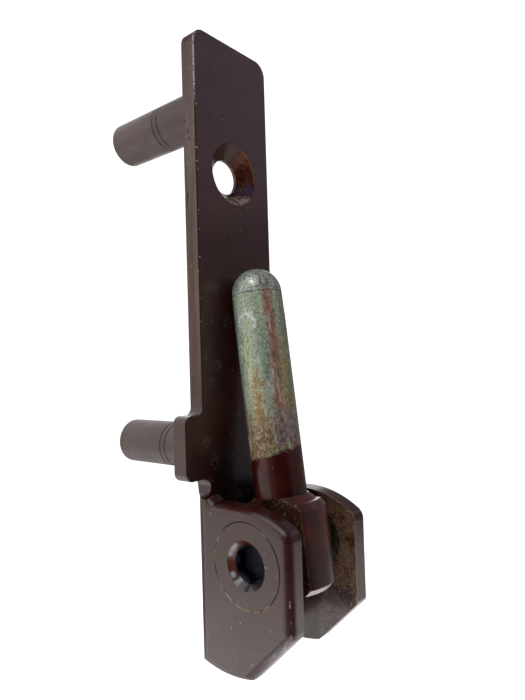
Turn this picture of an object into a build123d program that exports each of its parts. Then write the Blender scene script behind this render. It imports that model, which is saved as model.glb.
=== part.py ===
from build123d import *
from math import cos, radians, sin, sqrt
import os

# Window corner hinge, in millimetres. The origin is on the plate's back face, on its centre line,
# level with the adjusting spindle. X runs across the plate, Y into the window frame, Z up.

# Folded plate
SHEET = 3.0
PLATE_HALF = 9.0
PLATE_TOP = 85.4
PLATE_CORNER = 2.5
EAR_LEFT = -9.0
EAR_RIGHT = 11.4
EAR_TOP = 8.4
EAR_SHOULDER = 9.15
EAR_SHOULDER_Y = -4.2
EAR_FRONT = -19.5
EAR_CROWN_R = 17.0
EAR_NOSE_R = 2.0
EAR_BELLY_Y = -6.4
EAR_BELLY_Z = -17.83
EAR_BELLY_R = 19.0
EAR_HEEL_R = 0.9
LEFT_EAR = {"crown_start": -10.2, "foot": -11.25, "corner_radius": 1.7}
RIGHT_EAR = {"crown_start": -9.2, "foot": -11.8, "corner_radius": 0.9}
LEFT_DIE_ROLL = 1.5
BEND_OUTER_R = 2.9
BEND_RUNOUT_R = 0.3
EDGE_BREAK = 0.15

# Side lug and the bend relief below it
LUG_REACH = 3.75
LUG_TOP = 22.15
LUG_BOTTOM = 11.95
LUG_TOP_R = 1.3
LUG_BOTTOM_R = 1.3
LUG_ROOT_R = 1.2
RELIEF_DEPTH = 1.3
RELIEF_R = 1.35

# Screw hole
SCREW_Z = 62.9
SCREW_R = 2.95
SINK_R = 5.35

# Pegs on the back
PEG_R = 4.13
PEG_LENGTH = 26.5
PEG_HEIGHTS = {"upper_peg": 75.85, "lower_peg": 15.5}
PEG_END_BREAK = 0.5
PEG_SPIGOT_R = 3.6
PEG_SPIGOT = 1.6
PEG_SEAT_MOUTH_R = 4.3
PEG_GROOVES = (12.55, 13.8)
PEG_GROOVE_WIDTH = 0.45
PEG_GROOVE_DEPTH = 0.25

# Adjusting spindle, across both ears
SPINDLE_Y = -11.2
HEAD_R = 6.45
HEAD_BREAK = 0.3
SOCKET_FLATS = 5.0
SOCKET_DEPTH = 2.6
SOCKET_MOUTH_R = 3.75
THREAD_R = 3.0
JOURNAL_R = 2.5
JOURNAL_START = 7.75
RIVET_R = 3.4
RUNNING_GAP = 0.05

# Bush in the right ear
END_BUSH_R = 4.4
END_FLANGE_R = 5.3
END_FLANGE = 0.6

# Threaded bush inside the knuckle
BUSH_R = 4.1
BUSH_COLLAR_R = 4.9
BUSH_COLLAR = 0.55
BUSH_LIP_R = 4.6
BUSH_LIP = 0.45

# Knuckle and bearing pin share one axis, which leans back towards the plate
LEAN = 6.75
PIN_FOOT_Y = -12.24
KNUCKLE_R = 7.0
KNUCKLE_TOP = 8.0
KNUCKLE_BOTTOM = -5.4
KNUCKLE_HALF = 3.4
KNUCKLE_TOP_BREAK = (0.8, 1.0)
KNUCKLE_BOTTOM_BREAK = (0.9, 0.9)
COLLAR_FOOT_R = 5.5
COLLAR_TOP_R = 4.4
COLLAR = 1.0
PIN_R = 4.22
PIN_SPIGOT_R = 2.6
PIN_SPIGOT = 4.0
PIN_TAPER_START = 37.5
PIN_TIP_R = 4.12
PIN_SHOULDER = 43.3
PIN_TOP = 46.3
PIN_RIDGE = 0.12


def solid_from(shape):
    """One clean solid, so that each file holds a single body."""
    return shape.solids().sort_by(SortBy.VOLUME)[-1]


def turned(points, centre):
    """Revolves (radius, height) points about an upright axis through centre."""
    outline = Polyline(*[(r, 0, h) for r, h in points], close=True)
    return Location(centre) * revolve(make_face(outline), Axis.Z)


def turned_across(points, y):
    """Revolves (radius, x) points about an axis along X at height zero."""
    outline = Polyline(*[(x, y + r, 0) for r, x in points], close=True)
    return revolve(make_face(outline), Axis((0, y, 0), (1, 0, 0)))


def bore_across(radius, start, end):
    """A cylinder along X on the spindle's axis."""
    place = Plane(origin=(start, SPINDLE_Y, 0), z_dir=(1, 0, 0))
    return extrude(place * Circle(radius), end - start)


def cone_across(radius_start, radius_end, start, end):
    """A cone along X on the spindle's axis."""
    points = [(0, start), (radius_start, start), (radius_end, end), (0, end)]
    return turned_across(points, SPINDLE_Y)


def leaning(shape):
    """Puts a shape that was drawn upright on the pin's leaning axis."""
    return Location((0, PIN_FOOT_Y, 0)) * Rotation(-LEAN, 0, 0) * shape


def channel():
    """Both ears and the wall between them, folded from one sheet."""
    outer = Polyline(
        (EAR_LEFT, EAR_FRONT - 5), (EAR_LEFT, 0), (EAR_RIGHT, 0), (EAR_RIGHT, EAR_FRONT - 5),
        (EAR_RIGHT - SHEET, EAR_FRONT - 5), (EAR_RIGHT - SHEET, -SHEET),
        (EAR_LEFT + SHEET, -SHEET), (EAR_LEFT + SHEET, EAR_FRONT - 5), close=True,
    )
    section = make_face(outer)
    bends = section.vertices().filter_by(lambda v: abs(v.Y) < 0.01)
    section = fillet(bends, BEND_OUTER_R)
    height = EAR_SHOULDER - EAR_BELLY_Z + 2
    return Location((0, 0, EAR_BELLY_Z - 1)) * extrude(section, height)


def belly_height(y):
    """Height of the ears' lower edge, which bulges slightly downwards."""
    return EAR_BELLY_Z + EAR_BELLY_R - sqrt(EAR_BELLY_R**2 - (y - EAR_BELLY_Y) ** 2)


def ear_outline(crown_start, foot, corner_radius):
    """Side view of an ear: falling top, blunt nose, lower corner cut off at 45 degrees."""
    drop = EAR_CROWN_R - sqrt(EAR_CROWN_R**2 - (EAR_FRONT - crown_start) ** 2)
    nose = (EAR_FRONT, EAR_TOP - drop)
    heel = (foot, belly_height(foot))
    cut = (EAR_FRONT, heel[1] + foot - EAR_FRONT)
    shoulder = (EAR_SHOULDER_Y, EAR_TOP)
    back = (1, belly_height(1))
    crown = TangentArc((crown_start, EAR_TOP), nose, tangent=(-1, 0))
    belly = ThreePointArc(heel, (EAR_BELLY_Y, EAR_BELLY_Z), back)
    front = Polyline(nose, cut, heel)
    rest = Polyline(
        back, (1, EAR_SHOULDER), (-SHEET, EAR_SHOULDER), shoulder, (crown_start, EAR_TOP)
    )
    outline = make_face(Curve() + [crown, front, belly, rest])
    for corner, radius in ((nose, EAR_NOSE_R), (cut, corner_radius), (heel, EAR_HEEL_R)):
        outline = fillet(outline.vertices().sort_by_distance(corner)[0], radius)
    return outline


def outer_edges(x, depth, ear):
    """The edges round an ear's outer face, on a prism that runs from that face inwards."""
    side = Plane(origin=(x, 0, 0), x_dir=(0, 1, 0), z_dir=(1, 0, 0))
    trim = extrude(side * ear_outline(**ear), depth)
    face = trim.faces().filter_by(Axis.X).sort_by_distance((x, EAR_FRONT / 2, -5))[0]
    return face.edges().filter_by(lambda e: e.center().Y < 0.5)


def folded_ears():
    """The channel, trimmed to each ear's side view; the press tool rounded the left one's edge."""
    half = (EAR_RIGHT - EAR_LEFT) / 2
    trim = fillet(outer_edges(EAR_LEFT, half, LEFT_EAR), LEFT_DIE_ROLL)
    trim += chamfer(outer_edges(EAR_RIGHT, -half, RIGHT_EAR), EDGE_BREAK)
    return solid_from(channel() & trim)


def bend_spandrel(radius, height):
    """The corner that a bend of this radius leaves empty, in plan."""
    middle = radius * (1 - sqrt(0.5))
    arc = ThreePointArc(
        (-PLATE_HALF, -radius), (middle - PLATE_HALF, -middle), (radius - PLATE_HALF, 0)
    )
    corner = Polyline(
        (radius - PLATE_HALF, 0), (-PLATE_HALF - 1, 0), (-PLATE_HALF - 1, -radius),
        (-PLATE_HALF, -radius),
    )
    return Location((0, 0, height)) * make_face(Curve() + [arc, corner])


def bend_runout():
    """The left bend fades out into the flat plate above the ear."""
    low = bend_spandrel(BEND_OUTER_R, EAR_SHOULDER)
    high = bend_spandrel(BEND_RUNOUT_R, LUG_BOTTOM)
    return loft([low, high], ruled=True)


def plate_outline():
    """Front view of the upright plate with its side lug."""
    left = -PLATE_HALF
    right = PLATE_HALF
    inset = BEND_OUTER_R + 0.1
    outline = make_face(Polyline(
        (left + inset, 0), (left + inset, EAR_SHOULDER), (left, EAR_SHOULDER), (left, LUG_BOTTOM),
        (left - LUG_REACH, LUG_BOTTOM), (left - LUG_REACH, LUG_TOP), (left, LUG_TOP), (left, PLATE_TOP),
        (right, PLATE_TOP), (right, EAR_SHOULDER), (EAR_RIGHT - inset, EAR_SHOULDER),
        (EAR_RIGHT - inset, 0), close=True,
    ))
    rounds = (
        ((left, PLATE_TOP), PLATE_CORNER), ((PLATE_HALF, PLATE_TOP), PLATE_CORNER),
        ((left - LUG_REACH, LUG_TOP), LUG_TOP_R), ((left - LUG_REACH, LUG_BOTTOM), LUG_BOTTOM_R),
        ((left, LUG_TOP), LUG_ROOT_R),
    )
    for corner, radius in rounds:
        outline = fillet(outline.vertices().sort_by_distance(corner)[0], radius)
    return outline


def plate():
    """The upright plate, its edges eased down to the bends."""
    sheet = extrude(Plane.XZ * plate_outline(), SHEET)
    edges = sheet.edges().filter_by(
        lambda e: e.center().Z > LUG_BOTTOM + 0.2
        and abs(e.vertices()[0].Y - e.vertices()[-1].Y) < 0.01
    )
    return chamfer(edges, EDGE_BREAK)


def relief():
    """A round-cornered notch under the lug that lets the sheet fold without tearing."""
    length = 10
    centre = (RELIEF_DEPTH - PLATE_HALF - length / 2, (LUG_BOTTOM + EAR_SHOULDER) / 2)
    notch = RectangleRounded(length, LUG_BOTTOM - EAR_SHOULDER, RELIEF_R)
    return extrude(Plane.XZ.offset(-1) * Location(centre) * notch, SHEET + 2)


def bracket():
    body = solid_from(plate() + folded_ears() - relief() - bend_runout())
    front = Plane(origin=(0, -SHEET, SCREW_Z), z_dir=(0, 1, 0))
    body -= extrude(front * Circle(SCREW_R), SHEET)
    sink = Cone(SCREW_R, SINK_R, SINK_R - SCREW_R, align=(Align.CENTER, Align.CENTER, Align.MAX))
    body -= Location((0, -SHEET, SCREW_Z)) * Rotation(90, 0, 0) * sink
    body -= bore_across(HEAD_R + RUNNING_GAP, EAR_LEFT - 1, EAR_LEFT + SHEET + 1)
    body -= cone_across(HEAD_R + HEAD_BREAK, HEAD_R, EAR_LEFT, EAR_LEFT + HEAD_BREAK)
    body -= bore_across(END_BUSH_R, EAR_RIGHT - SHEET - 1, EAR_RIGHT + 1)
    for height in PEG_HEIGHTS.values():
        body -= peg_seat(height)
    return solid_from(body)


def peg_seat(height):
    """Blind seat for a peg's spigot, opened out at the back face."""
    floor = -PEG_SPIGOT - 0.05
    lead = PEG_SEAT_MOUTH_R - PEG_SPIGOT_R
    points = [
        (0, floor), (PEG_SPIGOT_R, floor), (PEG_SPIGOT_R, -lead), (PEG_SEAT_MOUTH_R, 0),
        (PEG_SEAT_MOUTH_R, 1), (0, 1),
    ]
    return Location((0, 0, height)) * Rotation(-90, 0, 0) * turned(points, (0, 0, 0))


def peg(height):
    """A turned peg seated in the plate's back, with two fine grooves round it."""
    points = [
        (0, -PEG_SPIGOT), (PEG_SPIGOT_R, -PEG_SPIGOT), (PEG_SPIGOT_R, 0), (PEG_R, 0),
    ]
    for start in PEG_GROOVES:
        points += [
            (PEG_R, start - PEG_GROOVE_WIDTH / 2), (PEG_R - PEG_GROOVE_DEPTH, start),
            (PEG_R, start + PEG_GROOVE_WIDTH / 2),
        ]
    points += [
        (PEG_R, PEG_LENGTH - PEG_END_BREAK), (PEG_R - PEG_END_BREAK, PEG_LENGTH), (0, PEG_LENGTH),
    ]
    return Location((0, 0, height)) * Rotation(-90, 0, 0) * turned(points, (0, 0, 0))


def adjusting_spindle():
    """Disc head with a hexagon socket, plain shank for the thread, riveted tail."""
    inner = EAR_LEFT + SHEET
    points = [
        (0, EAR_LEFT), (HEAD_R - HEAD_BREAK, EAR_LEFT), (HEAD_R, EAR_LEFT + HEAD_BREAK),
        (HEAD_R, inner), (THREAD_R, inner), (THREAD_R, JOURNAL_START), (JOURNAL_R, JOURNAL_START),
        (JOURNAL_R, EAR_RIGHT - 1.1), (RIVET_R, EAR_RIGHT - 0.2), (0, EAR_RIGHT),
    ]
    spindle = turned_across(points, SPINDLE_Y)
    mouth = Plane(origin=(EAR_LEFT, SPINDLE_Y, 0), x_dir=(0, 0, 1), z_dir=(1, 0, 0))
    corner = SOCKET_FLATS / 2 / cos(radians(30))
    spindle -= extrude(mouth * RegularPolygon(corner, 6), SOCKET_DEPTH)
    lead = (SOCKET_MOUTH_R - SOCKET_FLATS / 2) * 0.55
    spindle -= cone_across(SOCKET_MOUTH_R, SOCKET_FLATS / 2, EAR_LEFT, EAR_LEFT + lead)
    return solid_from(spindle)


def end_bush():
    """Flanged bush pressed into the right ear, countersunk for the spindle's riveted tail."""
    flange = EAR_RIGHT - SHEET - END_FLANGE
    points = [
        (JOURNAL_R + RUNNING_GAP, flange), (END_FLANGE_R, flange), (END_FLANGE_R, flange + END_FLANGE),
        (END_BUSH_R, flange + END_FLANGE), (END_BUSH_R, EAR_RIGHT),
        (RIVET_R + 2 * RUNNING_GAP, EAR_RIGHT), (RIVET_R + 2 * RUNNING_GAP, EAR_RIGHT - 0.2),
        (JOURNAL_R + RUNNING_GAP, EAR_RIGHT - 1.1),
    ]
    return turned_across(points, SPINDLE_Y)


def threaded_bush():
    """Runs on the spindle's thread and carries the knuckle, which swings on it."""
    half = KNUCKLE_HALF + RUNNING_GAP
    hole = THREAD_R + RUNNING_GAP
    points = [
        (hole, -half - BUSH_COLLAR), (BUSH_COLLAR_R, -half - BUSH_COLLAR), (BUSH_COLLAR_R, -half),
        (BUSH_R, -half), (BUSH_R, half), (BUSH_LIP_R, half), (BUSH_LIP_R, half + BUSH_LIP),
        (hole, half + BUSH_LIP),
    ]
    return turned_across(points, SPINDLE_Y)


def knuckle():
    """Round body with a milled flat on each side, a cross bore and a seat for the pin."""
    top_in, top_down = KNUCKLE_TOP_BREAK
    foot_in, foot_up = KNUCKLE_BOTTOM_BREAK
    points = [
        (0, KNUCKLE_BOTTOM), (KNUCKLE_R - foot_in, KNUCKLE_BOTTOM), (KNUCKLE_R, KNUCKLE_BOTTOM + foot_up),
        (KNUCKLE_R, KNUCKLE_TOP - top_down), (KNUCKLE_R - top_in, KNUCKLE_TOP),
        (COLLAR_FOOT_R, KNUCKLE_TOP), (COLLAR_TOP_R, KNUCKLE_TOP + COLLAR), (0, KNUCKLE_TOP + COLLAR),
    ]
    body = turned(points, (0, 0, 0)) & Box(2 * KNUCKLE_HALF, 40, 40)
    seat = Cylinder(PIN_SPIGOT_R, PIN_SPIGOT + 0.05, align=(Align.CENTER, Align.CENTER, Align.MAX))
    body -= Location((0, 0, KNUCKLE_TOP + COLLAR)) * seat
    body = leaning(body)
    body -= bore_across(BUSH_R + RUNNING_GAP, -KNUCKLE_HALF - 1, KNUCKLE_HALF + 1)
    return solid_from(body)


def bearing_pin():
    """Domed pin that the sash turns on, with a spigot set in the knuckle."""
    foot_height = KNUCKLE_TOP + COLLAR
    start = foot_height - PIN_SPIGOT
    cap = PIN_TOP - PIN_SHOULDER
    foot = PIN_TIP_R - PIN_RIDGE
    lines = Polyline(
        (0, PIN_TOP), (0, start), (PIN_SPIGOT_R, start), (PIN_SPIGOT_R, foot_height),
        (PIN_R, foot_height), (PIN_R, PIN_TAPER_START), (PIN_TIP_R, PIN_SHOULDER), (foot, PIN_SHOULDER),
    )
    radius = (foot**2 + cap**2) / (2 * cap)
    half_way = sqrt(radius**2 - (foot / 2) ** 2) + PIN_TOP - radius
    dome = ThreePointArc((foot, PIN_SHOULDER), (foot / 2, half_way), (0, PIN_TOP))
    outline = Plane.XZ * make_face(Curve() + [lines, dome])
    return leaning(revolve(outline, Axis.Z))


def main():
    os.makedirs("parts", exist_ok=True)
    pieces = {
        "bracket": bracket(),
        "adjusting_spindle": adjusting_spindle(),
        "end_bush": end_bush(),
        "threaded_bush": threaded_bush(),
        "knuckle": knuckle(),
        "bearing_pin": bearing_pin(),
    }
    for name, height in PEG_HEIGHTS.items():
        pieces[name] = peg(height)
    for name, shape in pieces.items():
        export_step(shape, f"parts/{name}.step")


main()
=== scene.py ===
import bmesh
import bpy
from math import cos, degrees, hypot, pi, radians, sin
from mathutils import Matrix, Vector


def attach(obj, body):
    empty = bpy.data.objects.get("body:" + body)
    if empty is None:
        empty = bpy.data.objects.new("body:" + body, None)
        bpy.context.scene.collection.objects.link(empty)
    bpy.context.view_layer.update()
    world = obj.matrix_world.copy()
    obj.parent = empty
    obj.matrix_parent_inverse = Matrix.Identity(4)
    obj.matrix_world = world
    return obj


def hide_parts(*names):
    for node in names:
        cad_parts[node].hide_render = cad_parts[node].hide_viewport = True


# Window corner hinge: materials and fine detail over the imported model.
# Objects and lights are in metres. Sizes and places in the materials are in millimetres.

MM = 0.001

# Camera
CAMERA_PLACE = (-0.0724, -0.0695, 0.0296)
CAMERA_YAW = radians(-49.73)
CAMERA_PITCH = radians(-1.64)
CAMERA_ROLL = radians(-1.73)
CAMERA_LENS = 29.5
SENSOR_WIDTH = 36

# The studio's soft lights: name, size, place, brightness and colour
MIDDLE = (0, 0, 0.03)
LIGHTS = [
    ("left_window", (0.5, 0.34), (-0.42, 0.3, 0.18), 0.95, (1, 0.93, 0.89)),
    ("left_table", (0.55, 0.34), (-0.3, 0.22, -0.15), 0.82, (1, 0.95, 0.92)),
    ("back_window", (0.9, 0.6), (0.16, 0.48, 0.2), 1.1, (1, 1, 1)),
    ("front_window", (0.4, 0.25), (0.32, -0.3, 0.3), 0.26, (0.88, 0.8, 1)),
    ("front_lamp", (0.12, 0.12), (-0.25, -0.08, 0.35), 4.5, (1, 1, 1)),
    ("front_table", (0.36, 0.16), (0.2, -0.17, -0.15), 0.6, (1, 0.92, 0.9)),
    ("top_softbox", (0.35, 0.35), (-0.2, 0.05, 0.4), 1.2, (1, 1, 1)),
]
FLOOR_Z = -0.2
AIR_COLOUR = (1.0, 0.92, 0.95)
AIR_STRENGTH = 0.19
WHITE = (1, 1, 1)
CARD_BLACK = (0.01, 0.009, 0.009)

# The plate and the foot, in millimetres
PLATE_SIDE = 9.0
PLATE_FRONT = -3.0
WALL_BOTTOM = 25.0
SCREW_Z = 62.9
SINK_R = 5.35
SINK_END = -0.5
EAR_LEFT = -9.0
EAR_INNER = 8.4
EAR_BACK = -6.0

# The burr on the plate's back left edge, in millimetres
BURR_LOW = 55.7
BURR_HIGH = 59.0
BURR_HALF_SIZE = (0.16, 0.42)
BURR_X = -PLATE_SIDE + 0.04
BURR_Y = -0.55

# The spindle's head, its socket and the seam of paint round it, in millimetres
SPINDLE_Y = -11.2
SEAM_R = 6.475
SEAM_PROFILE = [
    (-0.35, 0.0005), (-0.33, 0.003), (-0.09, 0.004), (0, -0.1), (0.09, 0.004), (0.28, 0.003), (0.3, 0.0005),
    (0.24, -0.02), (0, -0.2), (-0.28, -0.02),
]
SOCKET_R = 3.0
SOCKET_FLAT_R = 2.6
SOCKET_MOUTH_R = 3.75
SOCKET_BOTTOM = 3.5
SOCKET_LEAD = 0.69
SOCKET_LEAD_STRETCH = 2.1

# The thread on the spindle, in millimetres
SHANK_R_RANGE = (2.6, 3.1)
THREAD_CREST_R = 2.98
THREAD_ROOT_R = 2.45
THREAD_HALF_FOOT = 0.44
THREAD_HALF_CREST = 0.07
THREAD_PITCH = 1.0
THREAD_START = -5.9
THREAD_END = 7.6
THREAD_STEPS = 32

# The bearing pin, in millimetres along its axis and from it
PIN_AXIS_Y = -12.24
PIN_LEAN = radians(6.75)
PIN_R = 4.22
PIN_SHOULDER = 42.0
PIN_TOP = 46.15
PIN_PROFILE = [
    (0, 5), (2.6, 5), (2.6, 9), (PIN_R, 9), (PIN_R, 9.04), (PIN_R, 37.5),
    (4.141, 41.8), (4.14, 41.85), (4.1, 41.93), (4.1, PIN_SHOULDER),
]
PIN_FLAT_STRIPS = (0, 1, 2, 3, 6, 7, 8, 9)
DOME_R = 4.13
DOME_FOOT = PIN_SHOULDER + 0.03
DOME_STEPS = 112
TOOL_RINGS = 13
TOOL_RING_HEIGHT = 0.007
PAINT_LINE = 15.7

# The pegs, in millimetres
PEG_HEIGHTS = (75.85, 15.5)
PEG_R = 4.13
PEG_GROOVES = (12.55, 13.8)

# Enamel: the roughness varies between the two numbers
COAT = 0.35
COAT_ROUGHNESS = 0.14
SATIN = (0.22, 0.36)
KNUCKLE_SATIN = (0.24, 0.36)
PEG_MATT = (0.42, 0.52)
PEG_COAT = 0.15
ORANGE_PEEL = 0.02

# Paint, with painted sheen, painted shade and painted light in some of the colours
BROWN = (0.06, 0.0115, 0.009)
BROWN_DEEP = (0.04, 0.0075, 0.0065)
BROWN_GRAIN = (0.08, 0.034, 0.025)
OUTER_SHEEN_BROWN = (0.045, 0.03, 0.021)
RED_BROWN = (0.11, 0.013, 0.007)
RED_BROWN_DEEP = (0.032, 0.0075, 0.0065)
FLAT_BROWN = (0.05, 0.026, 0.015)
WALL_BROWN = (0.11, 0.055, 0.038)
WALL_FRONT_BROWN = (0.16, 0.09, 0.06)
DENT_RED = (0.07, 0.003, 0.002)
CROWN_SHADE_RED = (0.04, 0.006, 0.008)
PEG_BROWN = (0.1, 0.066, 0.062)
PEG_BROWN_DEEP = (0.08, 0.052, 0.049)
PEG_GROOVE_LIGHTENED = (0.2, 0.155, 0.145)
PIN_FOOT_BROWN = (0.07, 0.009, 0.006)
PIN_FOOT_DEEP = (0.045, 0.006, 0.0045)

# Dirt, dust and wear, with painted shade, painted reflections and painted highlights among them
NEAR_BLACK = (0.0022, 0.0022, 0.0036)
GREASE_AND_SHADE_BLUE = (0.01, 0.012, 0.036)
SHADE_BEHIND_PIN = (0.007, 0.005, 0.01)
GOLD_DUST = (0.56, 0.33, 0.085)
TAN_DUST = (0.5, 0.4, 0.26)
SEAM_DUST = (0.5, 0.33, 0.18)
EAR_DUST = (0.2, 0.125, 0.085)
EAR_MOTTLE = (0.03, 0.018, 0.022)
CORNER_REFLECTION = (0.4, 0.35, 0.39)
CORNER_LINE = (0.025, 0.008, 0.022)
MARK_GOLD = (0.3, 0.2, 0.08)
MARK_BLUE = (0.09, 0.11, 0.17)
MOUTH_RED = (0.2, 0.06, 0.03)
MOUTH_DARK = (0.016, 0.012, 0.024)
EDGE_ORANGE = (0.3, 0.12, 0.045)

# Bare and rusty metal, with painted highlights among them
BARE_STEEL_AND_GLINT = (0.88, 0.87, 0.86)
BEVEL_STEEL_AND_REFLECTION = (0.75, 0.74, 0.72)
PAINTED_GLINT = (0.62, 0.62, 0.7)
OILED_STEEL = (0.2, 0.17, 0.12)
OILED_STEEL_DEEP = (0.1, 0.085, 0.06)
BUSH_STEEL = (0.16, 0.13, 0.09)
BUSH_STEEL_DEEP = (0.05, 0.035, 0.025)
RUST = (0.2, 0.055, 0.016)
SINK_TOP_DARK = (0.055, 0.022, 0.014)
SINK_PURPLE = (0.065, 0.03, 0.085)
SINK_METAL_AND_HIGHLIGHT = (0.55, 0.44, 0.37)
SINK_RIM_HIGHLIGHT = (0.5, 0.36, 0.25)

# The pin's zinc, what stains it, and its painted shade and highlights
ZINC = (0.62, 0.72, 0.51)
ZINC_DEEP = (0.43, 0.55, 0.42)
ZINC_PALE = (0.66, 0.72, 0.56)
ZINC_GRAIN = (0.85, 0.88, 0.74)
ZINC_GRIT = (0.07, 0.08, 0.06)
ZINC_SHADE = (0.1, 0.12, 0.09)
LEFT_SIDE_SHADE_TEAL = (0.14, 0.25, 0.26)
RIGHT_SIDE_SHADE_OLIVE = (0.22, 0.22, 0.12)
STREAK_TEAL = (0.2, 0.27, 0.29)
LIME_HIGHLIGHT = (0.66, 0.7, 0.36)
STREAK_OCHRE = (0.56, 0.36, 0.09)
STREAK_ORANGE = (0.5, 0.25, 0.05)
STREAK_RED = (0.5, 0.115, 0.085)
LOW_RUST = (0.3, 0.14, 0.05)
LOW_LILAC = (0.42, 0.4, 0.52)
LOW_BROWN = (0.16, 0.055, 0.03)
LOW_GOLD = (0.8, 0.7, 0.36)
DOME_GREY = (0.56, 0.64, 0.62)
DOME_SPARKLE_HIGHLIGHT = (0.9, 0.88, 0.7)
SHOULDER_DARK = (0.05, 0.06, 0.05)
SCRATCH_WHITE = (0.95, 0.98, 1.0)
LIP_BROWN = (0.05, 0.03, 0.02)

# Marks on the paint, as a place and a radius in millimetres. Some of the spots are painted glints.
WALL_DENTS = [
    ((-9, -1.3, 68.4), 0.75), ((-9, -1.5, 67.0), 0.6), ((-9, -0.6, 70.2), 0.6),
    ((-8.95, -3, 69.5), 0.6), ((-8.9, -3, 66.4), 0.65),
]
BRACKET_SCUFFS_AND_GLINTS = [
    ((-8.6, -19.05, -3.9), 0.9), ((-8.5, -19.05, -6.6), 0.7), ((-8.5, -19.0, -8.2), 0.9),
    ((-7.7, -3.2, 9.0), 0.6), ((8.4, -18.4, -9.5), 0.9), ((8.4, -19.4, -8.6), 0.7),
]
PLATE_MARKS = [
    ((-2.7, -3, 37.2), 1.6), ((-6, -3, 37.4), 1.0), ((-8.0, -3, 31.5), 0.8), ((-7.2, -3, 27.4), 1.1),
    ((-5.2, -3, 30.0), 1.3), ((-8.2, -3, 17.5), 1.3), ((-6.6, -3, 14.5), 1.6), ((-7.8, -3, 11.6), 1.2),
]
HEAD_GLINTS = [
    ((-8.8, -8.3, 2.1), 1.0), ((-8.8, -8.9, 2.7), 0.8), ((-8.8, -7.9, 1.3), 0.8), ((-8.7, -8.3, -1.9), 0.7),
]
KNUCKLE_GLINTS = [((-3.3, -16.6, 8.5), 0.8), ((-3.4, -17.3, 7.8), 0.5)]
SCUFF_AND_GLINT_STRETCH = (3.2, 3.2, 0.8)

# White smears on the pin: angle, height, reach, rise and thickness
PIN_SMEARS = [(-35, 36.9, 1.6, 1.3, 0.16), (-60, 32.6, 0.6, 0.7, 0.15)]

# Sockets of the Mix node when it mixes colours
MIX_A, MIX_B, MIX_RESULT = 6, 7, 2


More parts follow.
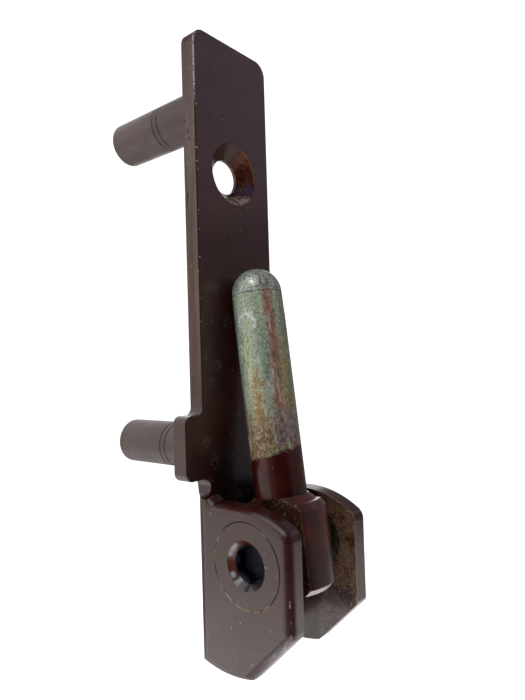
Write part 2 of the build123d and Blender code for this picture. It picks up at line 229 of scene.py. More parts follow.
class Finish:
    """A principled material. Node inputs are numbers, colours or the outputs of other nodes.
    Its colour, gloss (the roughness) and height are built up step by step, then fed to the shader."""

    def __init__(self, name, coat=0.0, coat_roughness=0.15, specular=0.5):
        self.material = bpy.data.materials.new(name)
        self.material.use_nodes = True
        self.tree = self.material.node_tree
        self.surface = self.tree.nodes["Principled BSDF"]
        self.surface.inputs["Coat Weight"].default_value = coat
        self.surface.inputs["Coat Roughness"].default_value = coat_roughness
        self.surface.inputs["Specular IOR Level"].default_value = specular
        metres = self.add("ShaderNodeTexCoord").outputs["Object"]
        self.place = self.vector("SCALE", metres, scale=1 / MM)
        axes = self.add("ShaderNodeSeparateXYZ", {"Vector": self.place})
        self.x, self.y, self.z = axes.outputs

    def feed(self, socket, value):
        if isinstance(value, bpy.types.NodeSocket):
            self.tree.links.new(value, socket)
        elif socket.type == "RGBA":
            socket.default_value = (*value, 1)
        else:
            socket.default_value = value

    def add(self, kind, inputs=None, **settings):
        node = self.tree.nodes.new(kind)
        for setting, value in settings.items():
            setattr(node, setting, value)
        for socket, value in (inputs or {}).items():
            self.feed(node.inputs[socket], value)
        return node

    def give(self, **inputs):
        """Feeds the surface shader, with underscores for the spaces in its input names."""
        for socket, value in inputs.items():
            self.feed(self.surface.inputs[socket.replace("_", " ")], value)

    def math(self, operation, *values):
        return self.add("ShaderNodeMath", dict(enumerate(values)), operation=operation).outputs[0]

    def times(self, *values):
        product = values[0]
        for value in values[1:]:
            product = self.math("MULTIPLY", product, value)
        return product

    def most(self, *values):
        result = values[0]
        for value in values[1:]:
            result = self.math("MAXIMUM", result, value)
        return result

    def minus(self, first, second):
        return self.math("SUBTRACT", first, second)

    def scaled(self, value, factor, start):
        return self.math("MULTIPLY_ADD", value, factor, start)

    def vector(self, operation, first, second=(0, 0, 0), scale=1.0):
        inputs = {0: first, "Scale": scale} if operation == "SCALE" else {0: first, 1: second}
        node = self.add("ShaderNodeVectorMath", inputs, operation=operation)
        return node.outputs["Value" if operation in ("DOT_PRODUCT", "LENGTH", "DISTANCE") else "Vector"]

    def stretched(self, x, y, z):
        """The place with each axis scaled. A factor below 1 draws a noise out along its axis."""
        return self.vector("MULTIPLY", self.place, (x, y, z))

    def joined(self, x, y, z):
        return self.add("ShaderNodeCombineXYZ", {"X": x, "Y": y, "Z": z}).outputs["Vector"]

    def fade(self, value, start, end):
        """Goes smoothly from 0 where the value is start to 1 where it is end."""
        inputs = {"Value": value, "From Min": start, "From Max": end}
        return self.add("ShaderNodeMapRange", inputs, interpolation_type="SMOOTHSTEP").outputs["Result"]

    def band(self, value, low, high, soft):
        """Is 1 between low and high, with soft ends."""
        above, below = self.fade(value, low - soft, low + soft), self.fade(value, high + soft, high - soft)
        return self.times(above, below)

    def noise(self, size, detail=3.0, roughness=0.5, where=None):
        inputs = {"Scale": 1 / size, "Detail": detail, "Roughness": roughness, "Vector": where or self.place}
        return self.add("ShaderNodeTexNoise", inputs).outputs["Fac"]

    def patchy(self, low, high, *noise):
        """A noise with more contrast: it goes from 0 where the noise is low to 1 where it is high."""
        return self.fade(self.noise(*noise), low, high)

    def veins(self, *noise):
        """Is 0 along thin winding lines, and grows away from them."""
        return self.math("ABSOLUTE", self.minus(self.noise(*noise), 0.5))

    def mix(self, factor, first, second):
        node = self.add("ShaderNodeMix", {0: factor, MIX_A: first, MIX_B: second}, data_type="RGBA")
        return node.outputs[MIX_RESULT]

    def stain(self, tint, *where):
        """Mixes a tint into the colour by the product of masks and strengths."""
        self.colour = self.mix(self.times(*where), self.colour, tint)

    def roughen(self, where, amount):
        self.gloss = self.scaled(where, amount, self.gloss)

    def lift(self, where, amount):
        self.height = self.scaled(where, amount, self.height)

    def specks(self, spacing, radius, share):
        """Scattered dots. The share of the cells that hold one may vary over the surface."""
        cells = self.add("ShaderNodeTexVoronoi", {"Vector": self.place, "Scale": 1 / spacing})
        draw = self.add("ShaderNodeSeparateColor", {"Color": cells.outputs["Color"]})
        present = self.math("LESS_THAN", draw.outputs[0], share)
        size = self.scaled(draw.outputs[1], radius / spacing, radius / spacing / 2)
        from_middle = self.math("DIVIDE", cells.outputs["Distance"], size)
        return self.times(present, self.fade(from_middle, 1.0, 0.6))

    def edges(self, radius, start, end):
        """Is 1 along the edges and 0 on open surfaces."""
        rounded = self.add("ShaderNodeBevel", {"Radius": radius * MM}, samples=6).outputs["Normal"]
        plain = self.add("ShaderNodeNewGeometry").outputs["Normal"]
        return self.fade(self.minus(1.0, self.vector("DOT_PRODUCT", rounded, plain)), start, end)

    def slope(self):
        """Is 1 where the surface looks up, 0 where it is upright and -1 where it looks down."""
        normal = self.add("ShaderNodeNewGeometry").outputs["Normal"]
        return self.add("ShaderNodeSeparateXYZ", {"Vector": normal}).outputs["Z"]

    def bump(self, height, distance):
        node = self.add("ShaderNodeBump", {"Height": height, "Distance": distance * MM, "Strength": 1.0})
        self.give(Normal=node.outputs["Normal"])

    def from_line(self, **centre):
        """Distance from the line through the two coordinates that are given, along the third axis."""
        places = {"x": self.x, "y": self.y, "z": self.z}
        offsets = [self.minus(places[name], value) for name, value in centre.items()]
        return self.math("SQRT", self.math("ADD", *[self.times(offset, offset) for offset in offsets]))


def place_camera():
    """Puts the camera where the photograph was taken from."""
    level = cos(CAMERA_PITCH)
    back = Vector((sin(CAMERA_YAW) * level, -cos(CAMERA_YAW) * level, sin(CAMERA_PITCH)))
    right = Vector((cos(CAMERA_YAW), sin(CAMERA_YAW), 0))
    up = back.cross(right)
    rolled_right = right * cos(CAMERA_ROLL) + up * sin(CAMERA_ROLL)
    rolled_up = up * cos(CAMERA_ROLL) - right * sin(CAMERA_ROLL)
    data = bpy.data.cameras.new("photo_camera")
    data.lens = CAMERA_LENS
    data.sensor_width = SENSOR_WIDTH
    data.clip_start = 0.001
    camera = bpy.data.objects.new("photo_camera", data)
    turn = Matrix((rolled_right, rolled_up, back)).transposed().to_4x4()
    camera.matrix_world = Matrix.Translation(CAMERA_PLACE) @ turn
    bpy.context.scene.collection.objects.link(camera)
    bpy.context.scene.camera = camera


def glowing(name, colour, strength):
    material = bpy.data.materials.new(name)
    material.use_nodes = True
    shader = material.node_tree.nodes["Principled BSDF"]
    shader.inputs["Base Color"].default_value = (*colour, 1)
    shader.inputs["Specular IOR Level"].default_value = 0
    shader.inputs["Emission Color"].default_value = (*colour, 1)
    shader.inputs["Emission Strength"].default_value = strength
    return material


def new_object(name, mesh, *materials):
    """Puts mesh data into the scene, with its materials."""
    for material in materials:
        mesh.materials.append(material)
    obj = bpy.data.objects.new(name, mesh)
    bpy.context.scene.collection.objects.link(obj)
    return obj


def staged(name, mesh, material):
    """Makes an object for the studio."""
    obj = new_object(name, mesh, material)
    return obj


def only_for_camera(obj):
    for ray in ("diffuse", "glossy", "transmission", "volume_scatter", "shadow"):
        setattr(obj, "visible_" + ray, False)


def towards(place, target, axis):
    """The rotation that turns an object's axis from its place to a target."""
    return (Vector(target) - Vector(place)).to_track_quat(axis, "Y").to_euler()


def card(name, size, place, target, material):
    """A flat square card that faces a point."""
    half = size / 2
    corners = [(-half, -half, 0), (half, -half, 0), (half, half, 0), (-half, half, 0)]
    mesh = bpy.data.meshes.new(name)
    mesh.from_pydata(corners, [], [(0, 1, 2, 3)])
    obj = staged(name, mesh, material)
    obj.location = place
    obj.rotation_euler = towards(place, target, "Z")
    return obj


def area_light(name, size, place, brightness, colour=WHITE, target=MIDDLE):
    """A soft light whose face is as bright as a white card at brightness 1."""
    data = bpy.data.lights.new(name, "AREA")
    data.shape = "RECTANGLE"
    data.size, data.size_y = size
    data.energy = brightness * pi * size[0] * size[1]
    data.color = colour
    light = bpy.data.objects.new(name, data)
    light.location = place
    light.rotation_euler = towards(place, target, "-Z")
    light.visible_camera = False
    bpy.context.scene.collection.objects.link(light)


def stage():
    """A white floor and surround for the camera, and soft light from all round."""
    world = bpy.data.worlds.new("studio")
    bpy.context.scene.world = world
    world.use_nodes = True
    air = world.node_tree.nodes["Background"]
    air.inputs["Color"].default_value = (*AIR_COLOUR, 1)
    air.inputs["Strength"].default_value = AIR_STRENGTH
    white = glowing("studio_white", WHITE, 1.0)
    mesh = bpy.data.meshes.new("backdrop")
    shell = bmesh.new()
    bmesh.ops.create_icosphere(shell, subdivisions=3, radius=3)
    shell.to_mesh(mesh)
    shell.free()
    only_for_camera(staged("backdrop", mesh, white))
    only_for_camera(card("floor", 3, (0, 0, FLOOR_Z), (0, 0, 1), white))
    # The dark card keeps the plate's front from shining, and the camera doesn't see it.
    dark = card("dark_card", 0.5, (-0.2, -0.315, 0.03), MIDDLE, glowing("card_black", CARD_BLACK, 0.0))
    dark.visible_camera = False
    for light in LIGHTS:
        area_light(*light)
    area_light("floor_glow", (0.7, 0.7), (0, 0, FLOOR_Z + 0.01), 0.7, target=(0, 0, 1))
    bpy.context.scene.view_settings.view_transform = "Standard"
    bpy.context.scene.view_settings.look = "None"


def enamel(name, colour=BROWN, deep=BROWN_DEEP, satin=SATIN, coat=COAT):
    """Satin brown enamel: cloudy colour, uneven gloss and a faint orange peel. The outermost left faces
    are drawn paler and less red, a painted sheen. Dirt and wear are added by the caller."""
    m = Finish(name, coat=coat, coat_roughness=COAT_ROUGHNESS)
    m.colour = m.mix(m.patchy(0.36, 0.64, 7.0, 4), deep, colour)
    m.stain(BROWN_GRAIN, m.patchy(0.55, 0.72, 0.5, 2), 0.3)
    # Painted sheen: the outermost left faces are drawn paler and less red.
    m.stain(OUTER_SHEEN_BROWN, m.fade(m.x, EAR_LEFT + 0.2, EAR_LEFT + 0.05), 0.4)
    smooth, dull = satin
    m.gloss = m.scaled(m.patchy(0.3, 0.7, 4.0, 5, 0.65), dull - smooth, smooth)
    m.height = m.math("ADD", m.times(m.noise(1.1, 2), 0.8), m.times(m.noise(0.3, 2), 0.05))
    return m


def dust(m, share, spacing=0.36, radius=0.12):
    """Gold and tan specks on the paint."""
    specks = m.specks(spacing, radius, share)
    m.stain(m.mix(m.patchy(0.4, 0.6, 2.0), GOLD_DUST, TAN_DUST), specks, 0.85)
    m.roughen(specks, 0.25)


def near(m, spots, stretch=(1, 1, 1)):
    """Is 1 in the middle of each spot, which is a place and a radius. A stretch above 1 makes the spots
    narrow along its axis."""
    place = m.stretched(*stretch)
    masks = []
    for centre, radius in spots:
        centre = tuple(a * b for a, b in zip(centre, stretch))
        masks.append(m.fade(m.vector("DISTANCE", place, centre), radius, 0.3 * radius))
    return m.most(*masks)


def chips(m, share, radius=0.28, scuffs_and_glints=()):
    """Bare steel where the paint is knocked off along the edges, and pale marks at the listed spots, which
    are scuffed paint and painted glints. The share may vary.
    """
    patches = m.math("ADD", m.times(m.noise(1.3, 4, 0.7), 0.7), m.times(m.noise(0.35, 3), 0.3))
    bare = m.times(m.edges(radius, 0.03, 0.12), m.math("GREATER_THAN", m.math("ADD", patches, share), 1.0))
    if scuffs_and_glints:
        flakes_and_glints = m.times(near(m, scuffs_and_glints, SCUFF_AND_GLINT_STRETCH), m.noise(0.24, 4, 0.8, m.stretched(1, 1, 0.35)))
        bare = m.most(bare, m.times(m.fade(flakes_and_glints, 0.42, 0.58), 0.85))
    m.stain(BARE_STEEL_AND_GLINT, bare, 0.8)
    m.lift(bare, -0.1)


def finish(m, bump=ORANGE_PEEL):
    m.give(Base_Color=m.colour, Roughness=m.gloss)
    m.bump(m.height, bump)
    return m.material


def wear_wall(m):
    """Marks drawn along the plate's left edge, and old dents. Returns how metallic the edge is."""
    upper = m.fade(m.z, WALL_BOTTOM - 1, WALL_BOTTOM + 1)
    wall = m.times(m.fade(m.x, EAR_LEFT + 0.1, EAR_LEFT + 0.02), upper)
    drawn = m.noise(0.9, 4, 0.6, m.stretched(1, 1, 0.06))
    m.stain(WALL_BROWN, wall, m.fade(drawn, 0.42, 0.62), 0.55)
    m.stain(WALL_FRONT_BROWN, wall, m.fade(m.y, -1.5, -2.4), 0.3)
    m.roughen(m.times(wall, m.fade(drawn, 0.6, 0.4)), 0.16)
    dented = m.fade(m.times(near(m, WALL_DENTS), m.noise(0.6, 4, 0.7)), 0.3, 0.45)
    m.stain(DENT_RED, dented, 0.95)
    m.lift(dented, m.scaled(m.noise(0.25, 3, 0.7), 14.0, -9.0))
    m.roughen(dented, 0.4)
    m.lift(m.times(wall, drawn), 2.5)
    return m.times(wall, m.scaled(m.fade(m.z, 68.0, 45.0), 0.3, 0.08))


def age_countersink(m):
    """Rust on the right, purple below it, dark at the top left, and worn bare at the bottom, drawn lighter
    there as a painted highlight too.
    A painted highlight runs along the upper right rim. Returns where the countersink is, and how metallic."""
    from_screw = m.from_line(x=0.0, z=SCREW_Z)
    depth = m.band(m.y, PLATE_FRONT + 0.01, SINK_END, 0.1)
    inside = m.times(m.fade(from_screw, SINK_R + 0.05, SINK_R - 0.15), depth)
    right_side = m.fade(m.x, 0.5, 3.0)
    rusty = m.times(inside, right_side, m.fade(m.z, SCREW_Z - 2.5, SCREW_Z + 0.5))
    m.stain(RUST, rusty, m.patchy(0.36, 0.58, 0.9, 5, 0.65), 0.9)
    purple = m.times(inside, right_side, m.band(m.z, SCREW_Z - 3.2, SCREW_Z - 0.8, 0.6))
    m.stain(SINK_PURPLE, purple, m.patchy(0.36, 0.52, 0.9, 4), 0.9)
    # Worn bare metal at the bottom, drawn lighter as a painted highlight as well.
    worn = m.times(inside, m.fade(m.z, SCREW_Z - 2.6, SCREW_Z - 4.0), m.patchy(0.36, 0.56, 0.7, 4, 0.65))
    m.stain(SINK_METAL_AND_HIGHLIGHT, worn, 0.85)
    # Painted highlight: a thin pale line along the upper right rim.
    rim = m.times(m.band(from_screw, SINK_R - 0.16, SINK_R - 0.02, 0.05), m.fade(m.x, 2.0, 3.5))
    m.stain(SINK_RIM_HIGHLIGHT, rim, m.fade(m.z, SCREW_Z - 1.0, SCREW_Z + 0.5), inside, 0.7)
    m.roughen(inside, 0.25)
    m.lift(inside, m.times(m.noise(0.7, 4, 0.65), 9.0))
    # The countersink is darker towards the top left.
    m.stain(SINK_TOP_DARK, inside, m.fade(m.z, SCREW_Z + 0.5, SCREW_Z + 2.5), m.fade(m.x, 2.5, 0.5), 0.7)
    return inside, m.times(inside, m.fade(m.z, SCREW_Z - 3.8, SCREW_Z - 2.6), 0.75)


def dirty_ear(m):
    """The dusty inner side of the right ear. Returns where it is."""
    inner_ear = m.times(m.band(m.x, EAR_INNER - 0.3, EAR_INNER + 0.3, 0.2), m.fade(m.y, -11.0, -13.0))
    m.stain(EAR_DUST, inner_ear, m.patchy(0.3, 0.6, 2.5), 0.8)
    m.stain(EAR_MOTTLE, inner_ear, m.fade(m.z, -6.0, -9.0), m.patchy(0.45, 0.6, 1.0, 5, 0.65), 0.7)
    return inner_ear


def paint_corner_reflection(m):
    """The lower corner of the left ear: a painted reflection, pale with white glints, along its rounded edge,
    with a dark line above it.
    """
    slant = sin(pi / 4)
    out = m.times(m.math("ADD", m.y, m.z), -slant)
    along = m.times(m.minus(m.y, m.z), slant)
    reflection_streaks = m.noise(0.6, 5, 0.75, m.joined(m.times(m.x, 1.5), m.times(out, 1.5), m.times(along, 0.35)))
    roll = m.times(m.band(out, 19.35, 20.6, 0.2), m.fade(m.x, -6.8, -7.8), m.band(along, -7.3, 3.8, 0.5))
    # Painted reflection with painted glints along the rounded edge.
    m.stain(CORNER_REFLECTION, roll, m.fade(reflection_streaks, 0.3, 0.6), m.fade(along, 2.0, -3.0), 0.6)
    m.stain(BARE_STEEL_AND_GLINT, roll, m.fade(reflection_streaks, 0.58, 0.66), m.fade(along, 0.0, -4.0), 0.8)
    line = m.times(m.band(out, 18.95, 19.2, 0.15), m.fade(m.x, -8.4, -8.7), m.band(along, -6.5, 3.8, 0.6))
    m.stain(CORNER_LINE, line, 0.75)


def bare_edges(m):
    """A bright line along the plate's front left edge, partly chipped paint and partly a painted highlight,
    bare dots beside it, and chips on all edges.
    """
    top_edge = m.times(m.fade(m.z, 71.0, 78.0), m.fade(m.x, -7.5, -8.6), m.fade(m.y, -2.0, -2.6))
    from_edge = m.from_line(x=-PLATE_SIDE + 0.08, y=PLATE_FRONT + 0.08)
    # Painted highlight on bare steel: the bright line along the front left edge.
    line = m.times(m.fade(from_edge, 0.13, 0.07), m.fade(m.z, 72.0, 75.5), m.patchy(0.4, 0.52, 0.6, 4, 0.7))
    dots = m.times(m.fade(from_edge, 0.4, 0.2), m.specks(0.55, 0.15, 0.4), m.fade(m.z, 30.0, 50.0))
    m.stain(BARE_STEEL_AND_GLINT, m.most(line, dots))
    # Pale marks at the listed spots: scuffed paint and painted glints.
    chips(m, m.scaled(top_edge, 0.2, 0.33), scuffs_and_glints=BRACKET_SCUFFS_AND_GLINTS)


def bracket_paint():
    m = enamel("brown_enamel")
    wall_metal = wear_wall(m)
    in_sink, sink_metal = age_countersink(m)
    m.give(Metallic=m.most(sink_metal, wall_metal))
    inner_ear = dirty_ear(m)
    paint_corner_reflection(m)
    # Painted shade on the upward faces of the left ear's top, painted shade behind the pin's foot, and
    # scratches on the plate's front
    shaded_ear_top = m.times(m.fade(m.x, -5.9, -6.1), m.fade(m.y, -9.0, -12.0), m.fade(m.z, 0.0, 3.0))
    m.stain(CROWN_SHADE_RED, m.fade(m.slope(), 0.3, 0.7), shaded_ear_top, 0.7)
    # Painted shade: the plate's front is drawn near black behind the pin's foot.
    near_pin = m.times(m.fade(m.z, 24.0, 10.0), m.fade(m.y, EAR_BACK, -3.2), m.fade(m.x, -8.8, -5.0))
    m.stain(SHADE_BEHIND_PIN, near_pin, 0.8)
    scratched = m.fade(m.veins(1.3, 4, 0.7), 0.05, 0.0)
    marks = m.times(near(m, PLATE_MARKS), scratched, m.fade(m.y, PLATE_FRONT + 0.2, PLATE_FRONT + 0.05))
    m.stain(m.mix(m.patchy(0.4, 0.6, 1.0), MARK_GOLD, MARK_BLUE), marks, 0.6)
    # Dust behind the pin, in the countersink and on the right ear
    sink_dust = m.times(in_sink, m.fade(m.z, SCREW_Z + 1.5, SCREW_Z - 0.5), 0.5)
    dust(m, m.most(m.times(near_pin, 0.02), sink_dust, 0.004))
    thick = m.scaled(m.fade(m.z, -9.0, -5.0), 0.7, 0.15)
    dust(m, m.times(inner_ear, thick, m.patchy(0.3, 0.55, 1.6, 4, 0.6)), 0.19, 0.075)
    bare_edges(m)
    return finish(m)


def peg_paint():
    m = enamel("brown_enamel_pegs", PEG_BROWN, PEG_BROWN_DEEP, PEG_MATT, PEG_COAT)
    deep = [m.fade(m.from_line(x=0.0, z=height), PEG_R - 0.02, PEG_R - 0.1) for height in PEG_HEIGHTS]
    low, high = PEG_GROOVES
    # Painted light: the grooves are drawn paler to offset their own shade.
    m.stain(PEG_GROOVE_LIGHTENED, m.most(*deep), m.band(m.y, low - 0.3, high + 0.3, 0.05), 0.75)
    dust(m, 0.004)
    chips(m, 0.34, 0.2)
    return finish(m, 0.012)


def spindle_paint():
    """Enamel on the head with chipped edges, red-brown and darker below at the socket's mouth, painted
    highlights on its lip, greasy and near black as painted shade deep in the socket, and an oily bare shank.
    """
    m = enamel("brown_enamel_spindle")
    from_axis = m.from_line(y=SPINDLE_Y, z=0.0)
    inward = m.fade(m.x, EAR_LEFT + 0.15, EAR_LEFT + 0.6)
    deep = m.times(m.fade(from_axis, SOCKET_FLAT_R + 0.15, SOCKET_FLAT_R), inward)
    mouth = m.band(from_axis, SOCKET_FLAT_R, SOCKET_MOUTH_R - 0.1, 0.15)
    m.stain(MOUTH_RED, mouth, m.fade(m.y, SPINDLE_Y, SPINDLE_Y + 2.0), 0.8)
    m.stain(MOUTH_DARK, mouth, m.fade(m.z, -1.0, -2.3), 0.85)
    # Grease and painted shade deep in the socket: drawn near black and rough.
    m.stain(NEAR_BLACK, deep)
    m.roughen(deep, 0.4)
    shank = m.fade(m.x, -6.2, -5.8)
    m.stain(m.mix(m.patchy(0.35, 0.65, 1.5, 4), OILED_STEEL_DEEP, OILED_STEEL), shank)
    m.give(Metallic=m.times(shank, 0.8))
    dust(m, m.most(0.004, m.times(shank, 0.1)))
    # Painted highlights: pale glints on the socket's lip.
    lip = m.band(from_axis, SOCKET_R + 0.1, SOCKET_MOUTH_R - 0.05, 0.12)
    m.stain(PAINTED_GLINT, lip, near(m, HEAD_GLINTS), m.patchy(0.28, 0.5, 0.5, 4, 0.7), 0.85)
    chips(m, 0.3, 0.2)
    return finish(m)


# Grease and painted shade inside the hex socket: near black, bluish in patches, with little shine.
def socket_grease_and_shade():
    m = Finish("socket_grease_and_shade", specular=0.12)
    m.colour = m.mix(m.patchy(0.4, 0.62, 0.8, 4), NEAR_BLACK, GREASE_AND_SHADE_BLUE)
    m.gloss = m.scaled(m.noise(0.6), 0.3, 0.35)
    m.height = m.noise(0.5, 4)
    return finish(m, 0.03)


def seam_paint():
    """Paint in the joint round the spindle's head, cracked along a line, dusty below and dark above."""
    m = enamel("brown_enamel_seam")
    from_axis = m.from_line(y=SPINDLE_Y, z=0.0)
    crack = m.band(from_axis, SEAM_R - 0.085, SEAM_R + 0.085, 0.02)
    dusty = m.fade(m.minus(m.minus(m.y, SPINDLE_Y), m.z), -1.5, 1.5)
    m.stain(SEAM_DUST, crack, dusty, m.patchy(0.4, 0.55, 1.1, 4, 0.7))
    gap = m.band(from_axis, SEAM_R - 0.1, SEAM_R + 0.16, 0.04)
    front = m.fade(m.y, SPINDLE_Y - 1.5, SPINDLE_Y - 4.0)
    open_gap = m.times(gap, m.patchy(0.35, 0.5, 0.8, 4, 0.7), front)
    m.stain(NEAR_BLACK, m.most(crack, open_gap), m.minus(1.0, dusty))
    return finish(m)


def knuckle_paint():
    """Redder enamel, thin and dusty on the milled flats, worn bright on the lower bevel, where a painted
    reflection adds to it, and painted glints near the top edge.
    """
    m = enamel("red_brown_enamel", RED_BROWN, RED_BROWN_DEEP, KNUCKLE_SATIN)
    flat = m.fade(m.math("ABSOLUTE", m.x), 3.2, 3.38)
    m.stain(FLAT_BROWN, flat, 0.5)
    m.stain(EDGE_ORANGE, m.edges(0.4, 0.01, 0.1), m.patchy(0.35, 0.55, 0.9, 4, 0.7), 0.55)
    dust(m, 0.006)
    dust(m, m.times(flat, m.patchy(0.42, 0.62, 1.6, 4, 0.6), 0.5), 0.2, 0.075)
    # Worn bare steel on the lower bevel, which is also a painted reflection of the bright floor below.
    bevel = m.times(m.band(m.slope(), -0.85, -0.45, 0.1), m.fade(m.z, -3.0, -3.6))
    m.stain(BEVEL_STEEL_AND_REFLECTION, bevel, m.patchy(0.3, 0.45, 0.8, 4, 0.6), 0.9)
    # Painted glints near the knuckle's top edge, and chips.
    chips(m, 0.34, scuffs_and_glints=KNUCKLE_GLINTS)
    return finish(m)


def smear(m, around, along, angle, height, reach, rise, thick):
    """A ragged arc of white scratches on the pin, open at the bottom."""
    shake = m.times(m.minus(m.noise(0.9, 4, 0.7), 0.5), 2.2)
    over = m.times(m.minus(around, angle), radians(PIN_R) / reach)
    up = m.math("ADD", shake, m.times(m.minus(along, height), 1 / rise))
    ring = m.math("SQRT", m.math("ADD", m.times(over, over), m.times(up, up)))
    return m.times(m.band(ring, 0.8, 1.2, thick), m.fade(up, -1.0, -0.5), m.patchy(0.4, 0.52, 0.5, 4, 0.75))


def zinc_and_paint():
    """Aged yellowed zinc with coloured streaks along the pin, painted shade on its sides, painted highlights,
    and a painted foot.
    """
    m = Finish("zinc_and_paint")
    offset = m.vector("SUBTRACT", m.place, (0, PIN_AXIS_Y, 0))
    along = m.vector("DOT_PRODUCT", offset, (0, sin(PIN_LEAN), cos(PIN_LEAN)))
    depth = m.vector("DOT_PRODUCT", offset, (0, cos(PIN_LEAN), -sin(PIN_LEAN)))
    # The angle round the pin is 0 on the side that the photograph looks at, and grows to the right.
    view = CAMERA_YAW - radians(90)
    facing = m.math("ADD", m.times(m.x, cos(view)), m.times(depth, sin(view)))
    side = m.math("ADD", m.times(m.x, -sin(view)), m.times(depth, cos(view)))
    wobble = m.times(m.minus(m.noise(2.6, 4, 0.6), 0.5), 24.0)
    around = m.math("ADD", m.times(m.math("ARCTAN2", side, facing), degrees(1)), wobble)
    drawn_out = m.joined(m.x, depth, m.times(along, 0.14))
    patches = m.noise(2.2, 5, 0.6)
    grit = m.noise(0.4, 3, 0.75)
    ragged = m.patchy(0.3, 0.6, 0.7, 4, 0.7)
    m.colour = m.mix(m.patchy(0.35, 0.65, 1.6, 4, 0.6, drawn_out), ZINC_DEEP, ZINC)
    m.stain(ZINC_PALE, m.fade(patches, 0.48, 0.66), 0.6)
    # Painted shade on the pin's left and right sides as seen from the camera, tinted teal and olive
    m.stain(LEFT_SIDE_SHADE_TEAL, m.band(around, -150, -65, 8), 0.7)
    m.stain(RIGHT_SIDE_SHADE_OLIVE, m.band(around, 46, 150, 12), 0.65)
    # Streaks along the pin, each a range of angles and a range of heights
    m.stain(STREAK_TEAL, m.band(around, -4, 10, 7), m.band(along, 23, 36, 4), 0.35)
    # Painted highlight: a pale lime stripe on the left of the pin.
    m.stain(LIME_HIGHLIGHT, m.band(around, -50, -33, 5), m.band(along, 18, 36, 3), ragged, 0.7)
    ochre = m.times(m.band(around, 34, 52, 6), m.band(along, 21, 34, 3))
    m.stain(STREAK_OCHRE, ochre, m.fade(patches, 0.3, 0.52), 0.75)
    orange = m.times(m.band(around, -34, -8, 8), m.band(along, 17, 29, 2))
    m.stain(STREAK_ORANGE, orange, m.patchy(0.4, 0.56, 1.8, 5, 0.7), 0.8)
    red = m.times(m.band(around, 12, 32, 8), m.band(along, 19, 43.2, 1.5))
    m.stain(STREAK_RED, red, m.patchy(0.2, 0.5, 1.2, 4, 0.6), 0.82)
    # Rust, lilac and gold above the paint
    m.stain(LOW_RUST, m.fade(along, 26, 18), m.fade(patches, 0.3, 0.5), 0.8)
    lilac = m.times(m.band(along, 17.0, 22.5, 1), m.fade(around, -5, 8))
    m.stain(LOW_LILAC, lilac, m.patchy(0.42, 0.56, 1.1, 5, 0.7), 0.75)
    veins = m.veins(1.1, 4, 0.7)
    m.stain(LOW_BROWN, m.fade(along, 24, 18), m.fade(veins, 0.03, 0.07), 0.75)
    m.stain(LOW_GOLD, m.fade(along, 25, 18), m.fade(veins, 0.018, 0.004), m.fade(around, 12, -6), 0.8)
    # The dome, the grain all over, the shoulder's groove and the smears
    dome = m.fade(along, PIN_SHOULDER - 0.4, PIN_SHOULDER + 0.5)
    m.stain(DOME_GREY, dome, 0.6)
    m.stain(ZINC_GRIT, m.fade(grit, 0.5, 0.57), m.scaled(dome, 0.2, 0.52))
    m.stain(ZINC_SHADE, m.patchy(0.53, 0.64, 1.0, 5, 0.75), 0.6)
    m.stain(ZINC_GRAIN, m.patchy(0.54, 0.68, 0.7, 4, 0.7, drawn_out), 0.6)
    # Painted highlights: pale sparkles round the dome's foot.
    m.stain(DOME_SPARKLE_HIGHLIGHT, m.specks(0.6, 0.2, 0.5), m.fade(along, 41.5, 43.5), 0.7)
    m.stain(SHOULDER_DARK, m.band(along, PIN_SHOULDER - 0.3, PIN_SHOULDER - 0.1, 0.08), ragged, 0.8)
    m.stain(SCRATCH_WHITE, m.most(*[smear(m, around, along, *place) for place in PIN_SMEARS]), 0.85)
    # The painted foot, with a ragged upper edge
    ragged_line = m.times(m.minus(m.noise(0.9, 4, 0.65), 0.5), 1.5)
    line = m.math("ADD", m.scaled(around, 0.012, PAINT_LINE), ragged_line)
    above_line = m.minus(along, line)
    painted = m.fade(above_line, 0.06, -0.06)
    m.stain(LIP_BROWN, m.band(above_line, 0.0, 0.25, 0.12), 0.6)
    paint = m.mix(m.patchy(0.38, 0.62, 3.0), PIN_FOOT_DEEP, PIN_FOOT_BROWN)
    m.stain(m.mix(m.times(m.specks(0.34, 0.085, 0.02), 0.6), paint, TAN_DUST), painted)
    zinc_gloss = m.scaled(m.fade(patches, 0.35, 0.65), 0.16, m.scaled(dome, -0.06, 0.38))
    m.gloss = m.scaled(painted, m.minus(0.26, zinc_gloss), zinc_gloss)
    metal = m.scaled(dome, 0.25, 0.2)
    m.give(Metallic=m.scaled(painted, m.times(metal, -1), metal))
    pits = m.math("ADD", m.times(grit, 0.5), m.times(patches, 0.5))
    m.height = m.math("ADD", m.times(pits, m.minus(1.0, painted)), m.times(painted, 1.3))
    return finish(m, 0.035)


def bush_steel():
    m = Finish("bush_steel")
    stained = m.noise(1.6, 5, 0.65)
    m.colour = m.mix(m.fade(stained, 0.35, 0.65), BUSH_STEEL_DEEP, BUSH_STEEL)
    m.stain(GOLD_DUST, m.specks(0.34, 0.09, 0.12))
    m.gloss = m.scaled(m.fade(stained, 0.3, 0.7), 0.2, 0.35)
    m.give(Metallic=0.8)
    m.height = m.noise(0.3, 3)
    return finish(m)


def mesh_of(work, name):
    """Turns the finished mesh work into mesh data."""
    mesh = bpy.data.meshes.new(name)
    work.to_mesh(mesh)
    work.free()
    return mesh


def vertex(work, x, y, z):
    """Adds a vertex at a place in millimetres."""
    return work.verts.new(Vector((x, y, z)) * MM)


def strip(work, before, after):
    """Joins two closed loops of vertices with faces, and returns them. A loop may be a single vertex."""
    count = max(len(before), len(after))
    faces = []
    for k in range(count):
        other = (k + 1) % count
        corners = (before[k % len(before)], before[other % len(before)],
                   after[other % len(after)], after[k % len(after)])
        faces.append(work.faces.new(dict.fromkeys(corners)))
    return faces


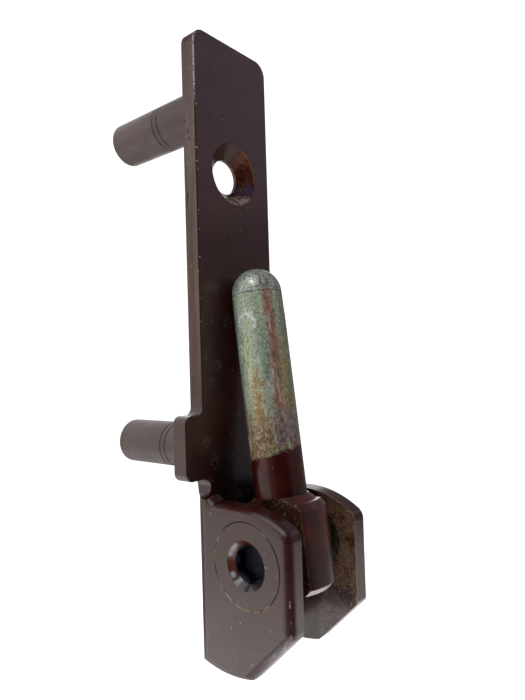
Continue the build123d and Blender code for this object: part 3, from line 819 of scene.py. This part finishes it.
def seam_ring(material):
    """Fills the groove between the spindle's head and the ear with paint, just below their faces."""
    around = 128
    work = bmesh.new()
    loops = []
    for step in range(around):
        angle = 2 * pi * step / around
        loop = []
        for across, rise in SEAM_PROFILE:
            r = SEAM_R + across
            loop.append(vertex(work, EAR_LEFT - rise, SPINDLE_Y + r * cos(angle), r * sin(angle)))
        loops.append(loop)
    for before, after in zip(loops, loops[1:] + loops[:1]):
        strip(work, before, after)
    bmesh.ops.recalc_face_normals(work, faces=work.faces)
    ring = new_object("seam_paint_ring", mesh_of(work, "seam_paint_ring"), material)
    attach(ring, "frame_plate")


def edge_burr(material):
    """A long burr under the paint, on the plate's back left edge."""
    around, steps = 14, 28
    work = bmesh.new()
    loops = []
    for step in range(steps + 1):
        part = step / steps
        swell = 0.02 + sin(pi * part) ** 0.6 * (0.8 + 0.2 * sin(11 * part))
        half_width, half_depth = (half * swell for half in BURR_HALF_SIZE)
        z = BURR_LOW + (BURR_HIGH - BURR_LOW) * part
        loop = []
        for k in range(around):
            angle = 2 * pi * k / around
            y = BURR_Y + 0.1 * sin(5 * part) + half_depth * sin(angle)
            loop.append(vertex(work, BURR_X + half_width * cos(angle), y, z))
        loops.append(loop)
    for before, after in zip(loops, loops[1:]):
        for face in strip(work, before, after):
            face.smooth = True
    work.faces.new(loops[0][::-1])
    work.faces.new(loops[-1])
    burr = new_object("edge_burr", mesh_of(work, "edge_burr"), material)
    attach(burr, "frame_plate")


def add_thread(work):
    """Adds the helical ridge round the shank, dying out into it at both ends."""
    steps = round((THREAD_END - THREAD_START) / THREAD_PITCH * THREAD_STEPS)
    fade_steps = THREAD_STEPS // 2
    foot, buried = THREAD_ROOT_R - 0.05, THREAD_ROOT_R - 0.03
    loops = []
    for step in range(steps + 1):
        angle = 2 * pi * step / THREAD_STEPS
        middle = THREAD_START + step * THREAD_PITCH / THREAD_STEPS
        rise = min(1, step / fade_steps, (steps - step) / fade_steps)
        crest = buried + (THREAD_CREST_R - buried) * rise
        loop = []
        for shift, r in [
            (-THREAD_HALF_FOOT, foot), (-THREAD_HALF_CREST, crest),
            (THREAD_HALF_CREST, crest), (THREAD_HALF_FOOT, foot),
        ]:
            loop.append(vertex(work, middle + shift, SPINDLE_Y + r * cos(angle), r * sin(angle)))
        loops.append(loop)
    for before, after in zip(loops, loops[1:]):
        left, top, right, bottom = strip(work, before, after)
        left.smooth = top.smooth = right.smooth = True
    work.faces.new(loops[0][::-1])
    work.faces.new(loops[-1])


def threaded_spindle(material, socket_inside):
    """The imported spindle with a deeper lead-in to its socket, its plain shank cut down to the thread's
    root, and the thread on it."""
    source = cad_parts["adjusting_spindle"]
    mesh = source.data.copy()
    work = bmesh.new()
    work.from_mesh(mesh)
    inner, outer = SHANK_R_RANGE
    for point in work.verts:
        x, y, z = point.co / MM
        from_axis = hypot(y - SPINDLE_Y, z)
        if EAR_LEFT + 0.01 < x < EAR_LEFT + SOCKET_LEAD + 0.01 and from_axis < SOCKET_MOUTH_R - 0.05:
            point.co.x = (EAR_LEFT + (x - EAR_LEFT) * SOCKET_LEAD_STRETCH) * MM
        if THREAD_START - 0.2 < x < THREAD_END + 0.2 and inner < from_axis < outer:
            squeeze = THREAD_ROOT_R / from_axis
            point.co = Vector((x, SPINDLE_Y + (y - SPINDLE_Y) * squeeze, z * squeeze)) * MM
    add_thread(work)
    work.to_mesh(mesh)
    work.free()
    mesh.materials.clear()
    spindle = new_object("spindle_with_thread", mesh, material, socket_inside)
    spindle.matrix_world = source.matrix_world
    for face in mesh.polygons:
        x, y, z = face.center / MM
        in_socket = hypot(y - SPINDLE_Y, z) < SOCKET_R and EAR_LEFT + 0.1 < x < EAR_LEFT + SOCKET_BOTTOM
        face.material_index = 1 if in_socket else 0
    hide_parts("adjusting_spindle")
    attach(spindle, "spindle")


def domed_pin(material):
    """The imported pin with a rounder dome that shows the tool's rings, and a fine groove at its shoulder."""
    around = 128
    profile = list(PIN_PROFILE)
    for step in range(DOME_STEPS):
        part = step / DOME_STEPS
        turn = pi / 2 * max(part, 0.002)
        ripple = TOOL_RING_HEIGHT * sin(2 * pi * TOOL_RINGS * part)
        height = DOME_FOOT + (PIN_TOP - DOME_FOOT + ripple) * sin(turn)
        profile.append(((DOME_R + ripple) * cos(turn), height))
    profile.append((0, PIN_TOP))
    work = bmesh.new()
    loops = []
    for r, height in profile:
        loop = []
        for k in range(around if r else 1):
            angle = 2 * pi * k / around
            depth = r * sin(angle)
            y = PIN_AXIS_Y + depth * cos(PIN_LEAN) + height * sin(PIN_LEAN)
            z = height * cos(PIN_LEAN) - depth * sin(PIN_LEAN)
            loop.append(vertex(work, r * cos(angle), y, z))
        loops.append(loop)
    for index, (below, above) in enumerate(zip(loops, loops[1:])):
        for face in strip(work, below, above):
            face.smooth = index not in PIN_FLAT_STRIPS
    bmesh.ops.recalc_face_normals(work, faces=work.faces)
    pin = new_object("domed_pin", mesh_of(work, "domed_pin"), material)
    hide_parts("bearing_pin")
    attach(pin, "knuckle_and_pin")


def paint(node, material):
    """Gives a CAD node its finished material in every slot."""
    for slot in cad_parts[node].material_slots:
        slot.material = material


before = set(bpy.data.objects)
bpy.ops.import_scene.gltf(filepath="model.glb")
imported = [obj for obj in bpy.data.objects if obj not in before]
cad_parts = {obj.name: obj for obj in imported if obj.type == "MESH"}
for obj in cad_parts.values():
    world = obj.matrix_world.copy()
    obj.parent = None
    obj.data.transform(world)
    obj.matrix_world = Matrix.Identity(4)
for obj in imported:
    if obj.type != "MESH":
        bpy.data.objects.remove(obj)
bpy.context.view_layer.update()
place_camera()
stage()
peg_brown = peg_paint()
bush = bush_steel()
brown = bracket_paint()
paint("bracket", brown)
paint("upper_peg", peg_brown)
paint("lower_peg", peg_brown)
paint("knuckle", knuckle_paint())
domed_pin(zinc_and_paint())
paint("end_bush", bush)
paint("threaded_bush", bush)
threaded_spindle(spindle_paint(), socket_grease_and_shade())
seam_ring(seam_paint())
edge_burr(brown)
